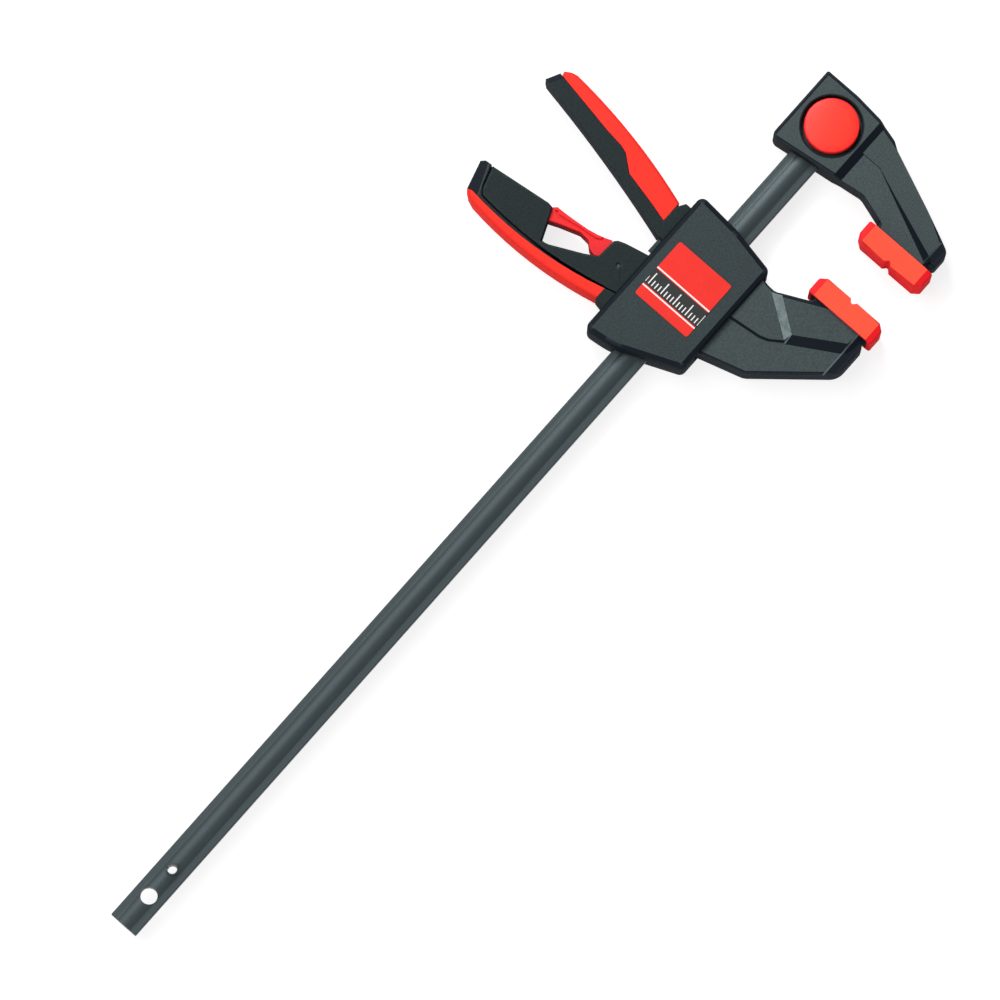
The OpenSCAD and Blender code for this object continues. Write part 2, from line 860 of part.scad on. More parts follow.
module pump_lever() {
    edge = concat(
        [[-46, 21.5], [-49.2, 30], lever_foot], bow(lever_foot, lever_tip, -1.8),
        [lever_tip, [-20.8, lever_top], [-12, lever_top - 4.4]], strip_joint,
        [[-28, strip_low], [-22.2, 35.5], [-22.2, 29], [-28, 20.5]]
    );
    fork = rounded(
        [
            pivot + [-5.2, -5.2], pivot + [5.2, -5.2], [-29, 23], [-40, 23],
            pivot + [-3.6, 36], pivot + [-3.2, 14]
        ],
        [4.8, 4.8, 0, 0, 0, 0]
    );
    color(plastic_black)
    at_carriage()
    difference() {
        union() {
            both_sides(edge, lever_t);
            for (side = [-1, 1]) {
                low = side > 0 ? fork_half : -fork_half - fork_t;
                slab(fork, low, low + fork_t);
                pin(pivot + [-3.5, nose_rise], 2, low, low + fork_t);
            }
        }
        pin(pivot, pivot_r + pin_gap, -far, far);
    }
}

module lever_strip() {
    low = [-24.5, strip_low];
    high = [-6, lever_top - 13.4];
    outline = concat(
        strip_joint, [low], bow(low, high, -3.2),
        [high, high + [-1, 4], [-9.5, lever_top - 5.6]]
    );
    color(plastic_red) at_carriage() both_sides(outline, lever_t);
}

module lever_pin() {
    color(steel_plain)
    at_carriage() pin(pivot, pivot_r, -core_half + 0.5, core_half - 0.5);
}

// ---------------------------------------------------------------- drive and brake

module drive_plate() {
    window = [rail_half + 0.6, rail_t / 2 + 0.4];
    color(steel_plain)
    at_carriage()
    difference() {
        bar([drive_back, drive_low, -plate_half], [drive_front, drive_top, plate_half]);
        bar([-far, -window.x, -window.y], [0, window.x, window.y]);
    }
}

module brake_plate() {
    window = [rail_half + 0.9, rail_t / 2 + 0.4];
    color(steel_plain)
    at_carriage() translate([brake_foot.x, brake_foot.y, 0]) rotate([0, 0, brake_tilt])
    difference() {
        bar([-brake_t / 2, 0, -plate_half], [brake_t / 2, brake_top - brake_foot.y, plate_half]);
        bar(
            [-far, -window.x - brake_foot.y, -window.y],
            [far, window.x - brake_foot.y, window.y]
        );
    }
}

module drive_spring() {
    start = spring_wall + spring_wall_t;
    color(steel_plain)
    at_carriage() translate([start, 0, 0]) rotate([0, 90, 0])
    coil(spring_mean_r, wire_r, drive_back - start, 7);
}

module brake_spring() {
    reach_x = brake_foot.x - 3.2 - brake_t / 2;
    color(steel_plain)
    at_carriage() translate([brake_wall, 0, 0]) rotate([0, 90, 0])
    coil(spring_mean_r, wire_r, reach_x - brake_wall, 3);
}

rail();
stop_pin();
fixed_jaw();
fixed_pad();
release_button();
lock_pin();
lock_clip();
button_spring();
moving_jaw();
front_cover();
rear_cover();
label_plate();
moving_pad();
grip_frame();
grip_cheek_front();
grip_cheek_rear();
grip_strip();
pump_lever();
lever_strip();
lever_pin();
drive_plate();
drive_spring();
brake_plate();
brake_spring();
release_trigger();
trigger_pin();
cover_screws();
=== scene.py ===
"""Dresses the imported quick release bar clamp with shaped, finished pieces and lights it."""

import math

import bmesh
import bpy
from mathutils import Matrix, Vector


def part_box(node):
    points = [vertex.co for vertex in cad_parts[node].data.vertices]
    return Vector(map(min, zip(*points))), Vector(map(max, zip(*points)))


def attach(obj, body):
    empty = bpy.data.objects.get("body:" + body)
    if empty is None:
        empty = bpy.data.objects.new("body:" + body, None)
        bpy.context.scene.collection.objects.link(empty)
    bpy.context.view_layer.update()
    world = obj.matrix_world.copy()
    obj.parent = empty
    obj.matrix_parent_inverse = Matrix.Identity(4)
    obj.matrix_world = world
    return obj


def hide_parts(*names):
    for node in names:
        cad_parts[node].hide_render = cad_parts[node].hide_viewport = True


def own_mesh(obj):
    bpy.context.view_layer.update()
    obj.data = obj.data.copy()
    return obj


bl_info = {
    "name": "Quick Release Bar Clamp",
    "version": (1, 0, 0),
    "blender": (4, 5, 0),
    "location": "View3D > Sidebar > Clamp",
    "description": "Shapes and finishes the pieces of a bar clamp around its packed frame",
    "category": "Object",
}

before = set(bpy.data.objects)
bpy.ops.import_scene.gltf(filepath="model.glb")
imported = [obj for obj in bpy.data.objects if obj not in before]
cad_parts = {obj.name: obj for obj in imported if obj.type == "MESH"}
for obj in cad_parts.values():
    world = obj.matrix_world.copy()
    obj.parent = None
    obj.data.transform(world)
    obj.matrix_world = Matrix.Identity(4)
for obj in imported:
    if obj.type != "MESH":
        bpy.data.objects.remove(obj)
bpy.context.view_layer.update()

MM = 0.001
# distance in metres that counts as none when a mesh is cut or welded
TINY = 1e-6
# distance within which a point counts as lying on a line or a plane
NEAR = 0.01 * MM
# the two marks on the corners of faces that the finishes read
EDGE = "edge"
SLOPE = "slope"

ALONG = Vector((1, 0, 0))
DOWN = Vector((0, -1, 0))

# places taken from the frame
MOVING_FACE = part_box("moving_pad")[1].x
COVER_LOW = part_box("front_cover")[0].y
COVER_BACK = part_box("rear_cover")[0].z
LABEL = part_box("label_plate")
BUTTON_AT = sum(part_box("release_button"), Vector()) / 2
NODE_SLOTS = {
    name: node.material_slots[0].material.name.split(".")[0]
    for name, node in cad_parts.items()
}

# where the faces of the two handles' ends start to fall away, which way, and over what length
CAP = (Vector((MOVING_FACE - 0.0918, 0.1397, 0)), Vector((-0.384, 0.923, 0)))
CAP_RUN = 8 * MM
LEVER_TIP = (Vector((MOVING_FACE - 0.0171, 0.1465, 0)), Vector((0.486, 0.874, 0)))
LEVER_TIP_RUN = 5 * MM

# the upright part of a normal on an exact flat, and its least on a face and most on a wall
EXACT_FLAT = 0.999
FACE_LEAST = 0.75
WALL_MOST = 0.3

# least distance of a rim from the middle plane, where lower edges stay sharp
THIN_RIM = 8 * MM
RIM = 9 * MM
PAD_RIM = 10 * MM
# the pad's edges this close to its middle belong to the notch
NOTCH_HALF = 3 * MM
# the moving arm is rounded from this far below the covers, the grip from this height on
ARM_CLEAR = 2 * MM
GRIP_FOOT = 40 * MM

# the label's print: across from its left edge, then from the band's middle, ticks along it
BAND_MIDDLE = 14.4 * MM
BAND_HALF = 5.9 * MM
KEYLINE = (6.5 * MM, 7.4 * MM)
TICK_ROOT = -4.6 * MM
TICK_ENDS = (-0.6 * MM, 3.6 * MM)
TICK_PITCH = 2.5 * MM
# half a tick's width as a share of the pitch of its kind, short then long
TICK_HALVES = (0.14, 0.036)
# one tick in this many is long
LONG_EVERY = 4.0

# strength of the world as a light, where it is seen it is white
WORLD_LIGHT = 0.18


# ---------------------------------------------------------------- sizes and colours


def length(name, description, default):
    """A size in metres that the panel shows as a distance."""
    return bpy.props.FloatProperty(
        name=name, description=description, default=default, min=0.0, max=20 * MM,
        subtype="DISTANCE", unit="LENGTH", precision=5,
    )


def colour(name, description, default):
    """A colour that the panel shows as a swatch."""
    return bpy.props.FloatVectorProperty(
        name=name, description=description, default=default, min=0.0, max=1.0,
        size=3, subtype="COLOR",
    )


class ClampSizes(bpy.types.PropertyGroup):
    """Sizes of the roundings and reliefs on the dressed pieces."""

    arm_round: length("Arm edges", "Rounding of the two jaws' rims", 1.3 * MM)
    tip_drop: length("Arm tips", "How far the arms' faces fall away at their lower ends", 4.2 * MM)
    tip_length: length("Arm tip length", "Length of the rounded lower ends", 7.2 * MM)
    grip_round: length("Grip edges", "Rounding of the handles where the hand holds them", 2.2 * MM)
    pad_round: length("Pad edges", "Rounding of the soft pads", 0.9 * MM)
    pad_slope: length("Pad ends", "Length of the sloped zone at each end of a pad", 4.4 * MM)
    pad_drop: length("Pad end drop", "How far a pad's face falls at its ends", 1.5 * MM)
    # painted highlight: the line of this width above the arms' lower ends and the grip's cap is
    # painted lighter
    highlight_line: length("Arm tip line", "Width of the rubbed line above a lower end", 0.9 * MM)
    cap_drop: length("Handle ends", "How far the faces at the handles' ends fall", 1.6 * MM)
    skin: length("Skin", "Depth of the zone that moves with a face where it falls", 1.5 * MM)
    seam: length("Seams", "Width of half a seam between two mouldings", 0.4 * MM)
    cheek_round: length("Cheek edges", "Rounding along the grip's groove line", 1.1 * MM)
    handle_round: length("Handle edges", "Rounding of the handles' plastic", 0.8 * MM)
    # painted shade: a flat border of this width inside the jaws' rims is painted near black
    arm_border: length("Arm border", "Width of the smooth line inside the two jaws' rims", 1.0 * MM)
    rail_round: length("Rail edges", "Chamfer at the rail's ends and holes", 0.35 * MM)


class ClampColours(bpy.types.PropertyGroup):
    """Base colours of the finishes."""

    black: colour("Black plastic", "Housing's covers", (0.021, 0.030, 0.032))
    # painted light: a lighter copy of the black plastic
    black_arm: colour("Jaw black", "Both jaws", (0.034, 0.047, 0.049))
    # a darker copy of the black plastic: partly a blacker plastic and partly painted shade
    black_handle: colour("Handle black", "Lever, grip and its cheeks", (0.005, 0.010, 0.011))
    red: colour("Red plastic", "Release button", (0.88, 0.034, 0.018))
    red_trigger: colour("Trigger red", "Release trigger", (0.74, 0.013, 0.017))
    soft_red: colour("Grip red", "Soft strips on the handles", (0.84, 0.024, 0.012))
    pad_red: colour("Pad red", "Soft pads on the jaws", (0.90, 0.080, 0.038))
    label: colour("Label", "Printed plate's ground", (0.76, 0.024, 0.016))
    dark_steel: colour("Rail steel", "Burnished rail", (0.026, 0.038, 0.042))
    plain_steel: colour("Plain steel", "Pins, plates and springs", (0.55, 0.55, 0.56))


# ---------------------------------------------------------------- shader nodes


class Value:
    """A socket of a material's nodes. Arithmetic on it adds Math nodes."""

    def __init__(self, nodes, socket):
        self.nodes = nodes
        self.socket = socket

    def maths(self, operation, *values):
        return self.nodes.add("Math", {"operation": operation}, dict(enumerate(values)))

    def __add__(self, other):
        return self.maths("ADD", self, other)

    def __sub__(self, other):
        return self.maths("SUBTRACT", self, other)

    def __rsub__(self, other):
        return self.maths("SUBTRACT", other, self)

    def __mul__(self, other):
        return self.maths("MULTIPLY", self, other)

    def __truediv__(self, other):
        return self.maths("DIVIDE", self, other)

    def __gt__(self, other):
        return self.maths("GREATER_THAN", self, other)

    def __lt__(self, other):
        return self.maths("LESS_THAN", self, other)

    __radd__ = __add__
    __rmul__ = __mul__


class Nodes:
    """The nodes of a new material, or those of a world that is given."""

    def __init__(self, name, world=None):
        self.owner = world or bpy.data.materials.new(name)
        self.owner.use_nodes = True
        self.tree = self.owner.node_tree
        self.shader = self.tree.nodes["Background" if world else "Principled BSDF"]

    def add(self, kind, settings=None, sockets=None, out=0):
        """Adds a node, makes its settings, then fills its sockets with values or links."""
        node = self.tree.nodes.new("ShaderNode" + kind)
        for key, setting in (settings or {}).items():
            if key == "stops":
                self.stops(node.color_ramp, setting)
            else:
                setattr(node, key, setting)
        for key, value in (sockets or {}).items():
            self.fill(node.inputs[key], value)
        return Value(self, node.outputs[out])

    def stops(self, ramp, stops):
        """Gives a colour ramp its stops, each a place and a grey."""
        while len(ramp.elements) < len(stops):
            ramp.elements.new(1.0)
        for element, (place, shade) in zip(ramp.elements, stops):
            element.position = place
            element.color = (shade, shade, shade, 1.0)

    def fill(self, socket, value):
        """Links a socket to a value of the nodes, or sets its number or colour."""
        if isinstance(value, Value):
            self.tree.links.new(value.socket, socket)
        elif socket.type == "RGBA":
            socket.default_value = (*value, 1.0)
        else:
            socket.default_value = value

    def mix(self, factor, a, b):
        """Blends two colours."""
        return self.add("Mix", {"data_type": "RGBA"}, {0: factor, 6: a, 7: b}, out=2)

    def place(self):
        """Object coordinates, in metres."""
        return self.add("TexCoord", out="Object")

    def along(self, point, scale):
        """A point with each of its axes scaled."""
        return self.add("VectorMath", {"operation": "MULTIPLY"}, {0: point, 1: scale})

    def noise(self, point, scale, detail=2.0, roughness=0.5):
        """Smooth noise around 0.5, scale waves to the metre."""
        return self.add("TexNoise", {}, {
            "Vector": point, "Scale": scale, "Detail": detail, "Roughness": roughness,
        })

    def ramp(self, value, *stops):
        """A value sent through grey stops."""
        return self.add("ValToRGB", {"stops": stops}, {0: value})

    def edge(self):
        """1 on the rounded edges, 0 elsewhere."""
        return self.add("Attribute", {"attribute_name": EDGE}, out="Fac")

    def slope(self):
        """0 on the flats that lie across the mould's pull, 1 on slopes, 2 on walls."""
        return self.add("Attribute", {"attribute_name": SLOPE}, out="Fac")

    def limit(self, value, low, high):
        """A value moved so that low becomes 0 and high becomes 1, and cut off there."""
        return self.add(
            "MapRange", {"clamp": True}, {"Value": value, "From Min": low, "From Max": high}
        )

    def bump(self, height, distance):
        """Normals of a relief whose height of 1 stands for the distance."""
        return self.add("Bump", {}, {"Distance": distance, "Height": height})

    def highest(self, a, b):
        return self.add("Math", {"operation": "MAXIMUM"}, {0: a, 1: b})

    def finish(self, **sockets):
        """Fills the sockets of the main shader."""
        for key, value in sockets.items():
            self.fill(self.shader.inputs[key.replace("_", " ")], value)
        return self.owner


def plastic_black(name, shade):
    """Glass-filled plastic: grained by spark erosion on the flats, smooth on the slopes, and
    painted near black as painted shade on slopes and walls.
    """
    n = Nodes(name)
    at = n.place()
    flat = 1.0 - n.limit(n.slope(), 0.0, 1.0)
    wall = n.limit(n.slope(), 1.0, 2.0)
    grain = n.noise(at, 950.0, 3.0, 0.75)
    fine = n.noise(at, 2600.0, 2.0, 0.6)
    cloud = n.noise(at, 55.0, 3.0)
    wear_and_highlight = n.edge() * n.ramp(n.noise(at, 240.0, 4.0, 0.6), (0.30, 0.4), (0.62, 1.0))
    lighter = [c * 2.1 + 0.014 for c in shade]
    base = n.mix(cloud, [c * 0.86 for c in shade], [c * 1.14 for c in shade])
    base = n.mix(n.ramp(grain, (0.34, 0.0), (0.68, 1.0)) * 0.5, base, lighter)
    # painted shade: slopes and walls take a near-black blue base in place of the plastic's colour
    base = n.mix(flat, (0.002, 0.005, 0.009), base)
    # rubbed edges, the lit ramp stripe and the lines above the lower ends painted lighter: wear and
    # painted highlight
    base = n.mix(wear_and_highlight, base, [c * 3.2 + 0.05 for c in shade])
    return n.finish(
        Base_Color=base,
        Roughness=0.54 + cloud * 0.08 - flat * 0.06 + grain * 0.06 + wall * 0.24,
        Normal=n.bump(flat * (grain * 0.7 + fine * 0.3), 0.00008), Specular_IOR_Level=0.10,
    )


def plastic_red(name, shade, gloss):
    """Smooth satin plastic with faint flow clouds, slopes painted a deeper red as painted shade,
    and rubbed edges lighter as wear and painted highlight.
    """
    n = Nodes(name)
    at = n.place()
    cloud = n.noise(at, 90.0, 3.0)
    grain = n.noise(at, 2600.0, 2.0)
    wear_and_highlight = n.edge() * n.ramp(n.noise(at, 300.0, 4.0, 0.6), (0.45, 0.0), (0.65, 1.0))
    base = n.mix(cloud, [c * 0.88 for c in shade], [min(1.0, c * 1.08) for c in shade])
    wall = n.limit(n.slope(), 1.0, 2.0)
    # painted shade: slopes and walls take a deeper, more saturated red
    painted_shade_red = (shade[0] * 1.15, shade[1] * 0.15, shade[2] * 0.5)
    base = n.mix(n.limit(n.slope(), 0.0, 1.0) * 0.8, base, painted_shade_red)
    # rubbed edges lighter: wear and painted highlight
    base = n.mix(wear_and_highlight * 0.2, base, [min(1.0, c * 1.1 + 0.03) for c in shade])
    return n.finish(
        Base_Color=base, Roughness=0.33 + cloud * 0.1 + wear_and_highlight * 0.06 + wall * 0.4,
        Normal=n.bump(grain, 0.00003), Specular_IOR_Level=gloss,
    )


def rubber_red(name, shade, shade_depth):
    """Soft rubber: matt, with a fine pebble grain and marks, and slopes painted a deeper red as
    painted shade, as strongly as shade_depth says.
    """
    n = Nodes(name)
    at = n.place()
    pebble = n.add("TexVoronoi", {}, {"Vector": at, "Scale": 1300.0}, out="Distance")
    grain = n.noise(at, 2200.0, 2.0)
    cloud = n.noise(at, 48.0, 3.0)
    smear = n.noise(n.along(at, (1.0, 0.4, 1.0)), 130.0, 4.0, 0.62)
    smear = n.ramp(smear, (0.52, 0.0), (0.72, 1.0))
    base = n.mix(cloud, [c * 0.90 for c in shade], [min(1.0, c * 1.08) for c in shade])
    base = n.mix(smear * 0.16, base, [c * 0.66 for c in shade])
    wall = n.limit(n.slope(), 1.0, 2.0)
    # painted shade: slopes and walls take a deeper, more saturated red
    painted_shade_red = (shade[0], shade[1] * 0.1, shade[2] * 0.4)
    base = n.mix(n.limit(n.slope(), 0.0, 1.0) * shade_depth, base, painted_shade_red)
    return n.finish(
        Base_Color=base, Roughness=0.60 + cloud * 0.12 - smear * 0.1 + wall * 0.25,
        Normal=n.bump(pebble * 0.6 + grain * 0.4, 0.00007), Specular_IOR_Level=0.22,
    )


def steel_dark(name, shade):
    """Drawn, browned steel: fine lines along the rail, faint scuffs, and rubbed edges painted
    lighter as wear and painted highlight.
    """
    n = Nodes(name)
    at = n.place()
    lines = n.noise(n.along(at, (0.012, 1.0, 1.0)), 2600.0, 3.0, 0.6)
    broad = n.noise(n.along(at, (0.05, 1.0, 1.0)), 420.0, 2.0)
    cloud = n.noise(at, 38.0, 4.0, 0.6)
    scuff = n.noise(n.along(at, (0.10, 1.0, 1.0)), 700.0, 4.0, 0.66)
    scuff = n.ramp(scuff, (0.60, 0.0), (0.74, 1.0))
    speck = n.ramp(n.noise(at, 1500.0, 2.0), (0.64, 0.0), (0.72, 1.0))
    wear_and_highlight = n.edge() * n.ramp(n.noise(at, 260.0, 4.0, 0.6), (0.36, 0.0), (0.60, 1.0))
    bright = [min(1.0, c * 2.6 + 0.04) for c in shade]
    base = n.mix(lines, [c * 0.80 for c in shade], [c * 1.25 for c in shade])
    base = n.mix(cloud * 0.35, base, [c * 0.75 for c in shade])
    base = n.mix(scuff * 0.18 + speck * 0.12, base, bright)
    base = n.mix(wear_and_highlight * 0.3, base, bright)
    return n.finish(
        Base_Color=base, Metallic=0.60 + scuff * 0.2,
        Roughness=0.36 + lines * 0.10 + broad * 0.06 + speck * 0.1 - wear_and_highlight * 0.06,
        Normal=n.bump(lines * 0.7 + broad * 0.3, 0.00004),
    )


def steel_plain(name, shade):
    """Plain turned or pressed steel with faint marks."""
    n = Nodes(name)
    at = n.place()
    marks = n.noise(n.along(at, (1.0, 1.0, 0.15)), 1800.0, 3.0, 0.6)
    cloud = n.noise(at, 160.0, 4.0, 0.6)
    base = n.mix(cloud, [c * 0.62 for c in shade], shade)
    return n.finish(
        Base_Color=base, Metallic=1.0, Roughness=0.28 + marks * 0.14 + cloud * 0.08,
        Normal=n.bump(marks, 0.00003),
    )


def printed_label(name, shade):
    """A printed plate: red ground, a dark band with white keylines and scale ticks."""
    n = Nodes(name)
    at = n.place()
    x = n.add("SeparateXYZ", {}, {0: at}, out="X")
    y = Value(n, x.socket.node.outputs["Y"])
    side = x - (LABEL[0].x + BAND_MIDDLE)
    across = n.add("Math", {"operation": "ABSOLUTE"}, {0: side})
    band = across < BAND_HALF
    keyline = (across > KEYLINE[0]) * (across < KEYLINE[1])
    step = (y - LABEL[0].y) / TICK_PITCH
    ticks = []
    for steps, half, end in zip((step, step / LONG_EVERY), TICK_HALVES, TICK_ENDS):
        off = n.add("Math", {"operation": "PINGPONG"}, {0: steps, 1: 0.5})
        ticks.append((off < half) * (side < end) * (side > TICK_ROOT))
    white = n.highest(keyline, n.highest(*ticks))
    cloud = n.noise(at, 120.0, 3.0)
    scratch = n.noise(n.along(at, (1.0, 0.12, 1.0)), 1400.0, 4.0, 0.7)
    scratch = n.ramp(scratch, (0.66, 0.0), (0.74, 1.0))
    base = n.mix(cloud, [c * 0.92 for c in shade], [min(1.0, c * 1.06) for c in shade])
    base = n.mix(band, base, (0.018, 0.02, 0.02))
    base = n.mix(white, base, (0.80, 0.80, 0.78))
    base = n.mix(scratch * 0.14, base, (0.5, 0.45, 0.43))
    return n.finish(
        Base_Color=base, Roughness=0.32 + cloud * 0.08 + scratch * 0.2,
        Normal=n.bump(n.noise(at, 700.0, 2.0) + scratch * 0.2, 0.00003), Specular_IOR_Level=0.2,
    )


# what makes each finish, its colour in the panel, its material's name and what else it takes
FINISHES = {
    "black_plastic": (plastic_black, "black", "black_plastic_grain"),
    # painted light: the jaws' copy of the black plastic, lighter
    "black_arm": (plastic_black, "black_arm", "black_arm_grain"),
    # the handles' copy of the black plastic, darker: partly a blacker plastic and partly painted
    # shade
    "black_handle": (plastic_black, "black_handle", "black_handle_grain"),
    "red_plastic": (plastic_red, "red", "red_plastic_satin", 0.30),
    "red_trigger": (plastic_red, "red_trigger", "red_trigger_satin", 0.22),
    # painted shade on the slopes: a little on the soft strips, fully on the pads
    "soft_red": (rubber_red, "soft_red", "soft_red_grain", 0.3),
    "pad_red": (rubber_red, "pad_red", "pad_red_grain", 1.0),
    "dark_steel": (steel_dark, "dark_steel", "dark_steel_drawn"),
    "plain_steel": (steel_plain, "plain_steel", "plain_steel_turned"),
    "label_red": (printed_label, "label", "label_print"),
}
made_finishes = {}


def finish_for(key):
    """One of the finishes, made when it is first asked for."""
    if key not in made_finishes:
        make, colour_name, name, *more = FINISHES[key]
        shade = tuple(getattr(bpy.context.scene.clamp_colours, colour_name))
        made_finishes[key] = make(name, shade, *more)
    return made_finishes[key]


# ---------------------------------------------------------------- shaping


def sizes():
    return bpy.context.scene.clamp_sizes


def copy_of(node, *halves):
    """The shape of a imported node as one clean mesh, with its flat faces whole.

    A face with a hole can't be whole. Halves are planes, each a point and a normal, where
    such faces are parted, so that their seams don't run to a corner that is rounded later.
    """
    bm = bmesh.new()
    bm.from_mesh(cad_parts[node].data)
    bmesh.ops.remove_doubles(bm, verts=bm.verts, dist=2 * TINY)
    bmesh.ops.dissolve_degenerate(bm, dist=TINY, edges=bm.edges)
    for point, normal in halves:
        cut_across(bm, point, normal)

    def on_a_half(e):
        return any(
            max(abs((v.co - point).dot(normal)) for v in e.verts) < TINY
            for point, normal in halves
        )

    bmesh.ops.dissolve_limit(
        bm, angle_limit=math.radians(0.6), verts=bm.verts,
        edges=[e for e in bm.edges if not on_a_half(e)], use_dissolve_boundaries=False,
    )
    bm.loops.layers.float.new(EDGE)
    bm.loops.layers.float.new(SLOPE)
    return bm


def mark(bm, layer, faces, value):
    """Sets a mark on all the corners of some faces."""
    key = bm.loops.layers.float[layer]
    for face in faces:
        for loop in face.loops:
            loop[key] = value


def creases(bm, angle, where=None):
    """The edges sharper than an angle, where the test on their middle and the edge allows."""
    found = []
    for e in bm.edges:
        if len(e.link_faces) == 2 and e.calc_face_angle(0.0) > math.radians(angle):
            middle = (e.verts[0].co + e.verts[1].co) / 2
            if where is None or where(middle, e):
                found.append(e)
    return found


def clear_of_points(edges, narrow=50.0):
    """Leaves out edges that end where a face comes to a narrow point, as they can't be rounded."""
    narrow = math.radians(narrow)
    pointed = {
        v for e in edges for v in e.verts
        if any(loop.calc_angle() < narrow for loop in v.link_loops)
    }
    return [e for e in edges if not pointed.intersection(e.verts)]


def round_off(bm, edges, radius, segments=3, wear_and_highlight=0.08):
    """Rounds edges, and gives the new faces the edge mark, which the finishes paint lighter as wear
    and painted highlight.
    """
    made = bmesh.ops.bevel(
        bm, geom=clear_of_points(edges), offset=radius, offset_type="OFFSET", affect="EDGES",
        segments=segments, profile=0.5, material=-1, clamp_overlap=False,
    )
    mark(bm, EDGE, made["faces"], wear_and_highlight)


def cut_across(bm, point, normal):
    """Cuts a mesh by a plane, so that it can be bent there."""
    bmesh.ops.bisect_plane(
        bm, geom=bm.verts[:] + bm.edges[:] + bm.faces[:], dist=TINY,
        plane_co=point, plane_no=normal,
    )


def fall_away(bm, point, outward, run, fall, steps=1):
    """Bends the front and back faces towards the middle past a line. fall(0..1) is the depth."""
    for i in range(steps):
        cut_across(bm, point + outward * run * i / steps, outward)
    top = max(abs(v.co.z) for v in bm.verts if (v.co - point).dot(outward) > 0)
    for v in bm.verts:
        part = (v.co - point).dot(outward) / run
        if part > 0 and abs(v.co.z) > top - sizes().skin:
            v.co.z -= math.copysign(fall(min(1.0, part)), v.co.z)


def faces_past(bm, point, outward, until=1.0):
    """The front and back faces that lie past a line, up to a distance from it."""
    return [
        f for f in bm.faces
        if abs(f.normal.z) > WALL_MOST
        and 0 < (f.calc_center_median() - point).dot(outward) < until
    ]


def borders(bm, width, shortest=6 * MM):
    """Cuts a border off the flat faces along their rounded rims, and gives borders and rims."""
    key = bm.loops.layers.float[EDGE]

    def flat(face):
        return abs(face.normal.z) > EXACT_FLAT

    def rounded(face):
        return not flat(face) and face.loops[0][key] > 0.0

    lines = []
    for e in bm.edges:
        if len(e.link_faces) == 2 and e.calc_length() > shortest:
            faces = sorted(e.link_faces, key=flat)
            if rounded(faces[0]) and flat(faces[1]):
                a, b = (v.co.copy() for v in e.verts)
                inward = faces[1].normal.cross(b - a).normalized()
                if inward.dot(faces[1].calc_center_median() - a) < 0:
                    inward = -inward
                lines.append((a, b, inward))

    def beside(face, a, b):
        """Whether a flat face has an edge on the line from a to b."""
        along = (b - a).normalized()
        return flat(face) and any(
            all(
                (v.co - a).cross(along).length < NEAR
                and -NEAR < (v.co - a).dot(along) < (b - a).length + NEAR
                for v in e.verts
            )
            for e in face.edges
        )

    for a, b, inward in lines:
        for face in [f for f in bm.faces if beside(f, a, b)]:
            bmesh.ops.bisect_plane(
                bm, geom=[face, *face.edges, *face.verts], dist=TINY,
                plane_co=a + inward * width, plane_no=inward,
            )

    def in_border(face, a, b, inward):
        """Whether a face lies beside a line and no further from it than the border's width."""
        return beside(face, a, b) and all(
            (v.co - a).dot(inward) < width + NEAR for v in face.verts
        )

    return [f for f in bm.faces if rounded(f) or any(in_border(f, *line) for line in lines)]


def share(value, start, end):
    """How far a value has come from start to end, as 0 to 1."""
    return min(1.0, max(0.0, (value - start) / (end - start)))


def mark_slopes(bm, large=20 * MM * MM):
    """Marks each face corner by its slope: 0 up to 10 degrees, 1 from 22 to 53, 2 from 73 on."""
    key = bm.loops.layers.float[SLOPE]
    for face in bm.faces:
        whole = face.calc_area() > large
        for loop in face.loops:
            near = [f.normal for f in loop.vert.link_faces if f.normal.dot(face.normal) > 0.8]
            normal = face.normal if whole else sum(near, Vector()).normalized()
            up = abs(normal.z)
            loop[key] = share(up, 0.985, 0.925) + share(up, 0.6, 0.3)


def is_crease(e, angle, relief):
    """Whether an edge is drawn sharp: walls from one angle on, face reliefs from a lower one."""
    if len(e.link_faces) != 2:
        return True
    flat = min(abs(f.normal.z) for f in e.link_faces) > 0.6
    return e.calc_face_angle(0.0) > math.radians(relief if flat else angle)


def settle(
    bm, name, body, slot, *nodes, angle=35.0, relief=7.0, finish=None,
    painted_dark=(), painted_lit=(), line=()
):
    """Makes the finished piece from its mesh, puts it on its body and hides what it stands for.

    The painted_dark faces are painted as shaded slopes, the painted_lit ones as flats with a full
    painted highlight, and those of the line with half of it.
    """
    mark_slopes(bm)
    # painted shade on the painted_dark faces; painted highlight on the painted_lit faces and the
    # line
    mark(bm, SLOPE, painted_dark, 1.0)
    for faces, wear_and_highlight in ((painted_lit, 1.0), (line, 0.5)):
        mark(bm, SLOPE, faces, 0.0)
        mark(bm, EDGE, faces, wear_and_highlight)
    for face in bm.faces:
        face.smooth = True
    for e in bm.edges:
        e.smooth = not is_crease(e, angle, relief)
    mesh = bpy.data.meshes.new(name)
    bm.to_mesh(mesh)
    bm.free()
    piece = bpy.data.objects.new(name, mesh)
    bpy.context.scene.collection.objects.link(piece)
    mesh.materials.append(finish_for(finish or slot))
    weighted = piece.modifiers.new("even shading", "WEIGHTED_NORMAL")
    weighted.keep_sharp = True
    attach(piece, body)
    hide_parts(*nodes)
    return piece


def refinish(*names):
    """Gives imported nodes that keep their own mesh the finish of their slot."""
    for name in names:
        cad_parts[name].material_slots[0].material = finish_for(NODE_SLOTS[name])


# ---------------------------------------------------------------- pieces


def rims(low, facing=None):
    """A test for edges between a face that looks up or down and a wall, away from the middle."""

    def test(middle, e):
        looks = sorted((f.normal for f in e.link_faces), key=lambda normal: abs(normal.z))
        if facing is not None and looks[0].dot(facing) < 0.35:
            return False
        upright = [abs(look.z) for look in looks]
        return abs(middle.z) >= low and upright[0] < WALL_MOST and upright[1] > FACE_LEAST

    return test


